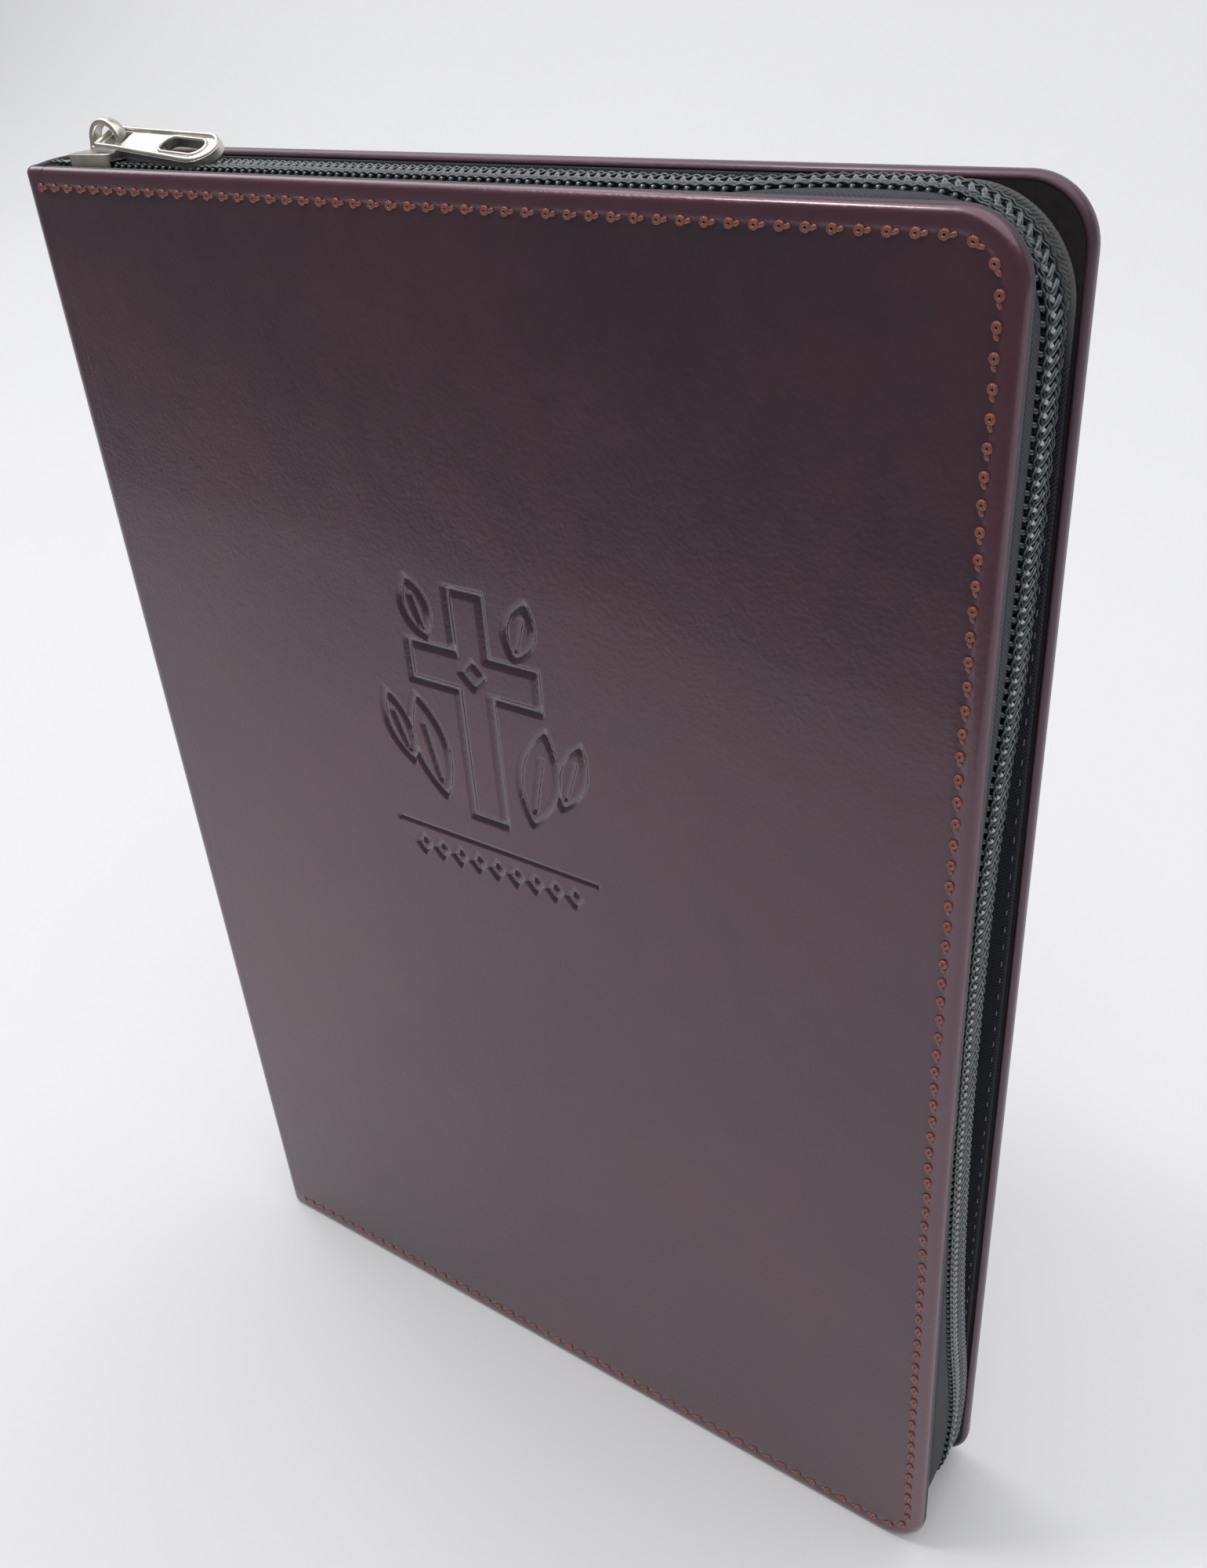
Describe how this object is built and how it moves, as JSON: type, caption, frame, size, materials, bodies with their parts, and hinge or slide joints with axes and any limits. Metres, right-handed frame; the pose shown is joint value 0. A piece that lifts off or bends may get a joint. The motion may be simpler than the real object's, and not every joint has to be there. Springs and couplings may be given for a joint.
{
  "type": "bible",
  "caption": "Zip-closed book in a soft leather-look case, with opening covers, sewn text block, coil zip, slider and swinging pull.",
  "frame": {"origin": "middle of the closed book's foot, on the surface it stands on", "axes": "+X from the spine to the fore-edge, +Y from the front cover to the rear cover, +Z from tail to head"},
  "size_m": [0.157, 0.022, 0.2259],
  "materials": {
    "case_leather": "two-tone burgundy and near-black leather-look skin, smooth, waxed sheen",
    "cover_board": "grey board stiffener",
    "cover_lining": "plain dark inner skin",
    "endpaper": "matt cream endpaper",
    "seam_thread": "copper-pink glossy polyester thread",
    "zip_tape": "black herringbone zip tape",
    "zip_coil": "black-green nylon coil",
    "bible_paper": "thin cream paper",
    "spine_lining": "open-weave mull glued to the back",
    "band_cloth": "striped woven band",
    "ribbon": "satin ribbon",
    "nickel": "satin nickel plate"
  },
  "bodies": {
    "rear_half": {"rear_spine_skin": "case_leather", "rear_flyleaf": "endpaper", "section_07": "bible_paper", "section_08": "bible_paper", "section_09": "bible_paper", "section_10": "bible_paper", "section_11": "bible_paper", "section_12": "bible_paper", "spine_lining": "spine_lining", "head_band": "band_cloth", "tail_band": "band_cloth", "ribbon_marker": "ribbon"},
    "front_half": {"front_spine_skin": "case_leather", "front_flyleaf": "endpaper", "section_01": "bible_paper", "section_02": "bible_paper", "section_03": "bible_paper", "section_04": "bible_paper", "section_05": "bible_paper", "section_06": "bible_paper"},
    "front_cover": {"front_cover_skin": "case_leather", "front_board": "cover_board", "front_lining": "cover_lining", "front_pastedown": "endpaper", "front_seam_thread": "seam_thread", "front_zip_tape": "zip_tape", "front_zip_coil": "zip_coil"},
    "rear_cover": {"rear_cover_skin": "case_leather", "rear_board": "cover_board", "rear_lining": "cover_lining", "rear_pastedown": "endpaper", "rear_seam_thread": "seam_thread", "rear_zip_tape": "zip_tape", "rear_zip_coil": "zip_coil", "zip_end_stop": "nickel"},
    "slider": {"zip_slider": "nickel"},
    "pull": {"zip_pull": "nickel"}
  },
  "joints": [
    {"name": "middle_opening", "type": "hinge", "parent": "rear_half", "child": "front_half", "pos_m": [-0.0786, 0, 0.11], "axis": [0, 0, 1], "range_deg": [-175, 0], "deforming": ["spine_lining", "head_band", "tail_band"]},
    {"name": "front_cover_hinge", "type": "hinge", "parent": "front_half", "child": "front_cover", "pos_m": [-0.0725, -0.01139, 0.11], "axis": [0, 0, 1], "range_deg": [-180, 0]},
    {"name": "rear_cover_hinge", "type": "hinge", "parent": "rear_half", "child": "rear_cover", "pos_m": [-0.0725, 0.01139, 0.11], "axis": [0, 0, 1], "range_deg": [0, 180]},
    {"name": "slider_travel", "type": "slide", "parent": "rear_cover", "child": "slider", "axis": [1, 0, 0], "range_m": [0, 0.09], "deforming": ["front_zip_coil", "rear_zip_coil"]},
    {"name": "pull_swing", "type": "hinge", "parent": "slider", "child": "pull", "pos_m": [-0.063, -0.0034, 0.2227], "axis": [0, -1, 0], "range_deg": [0, 170]}
  ]
}
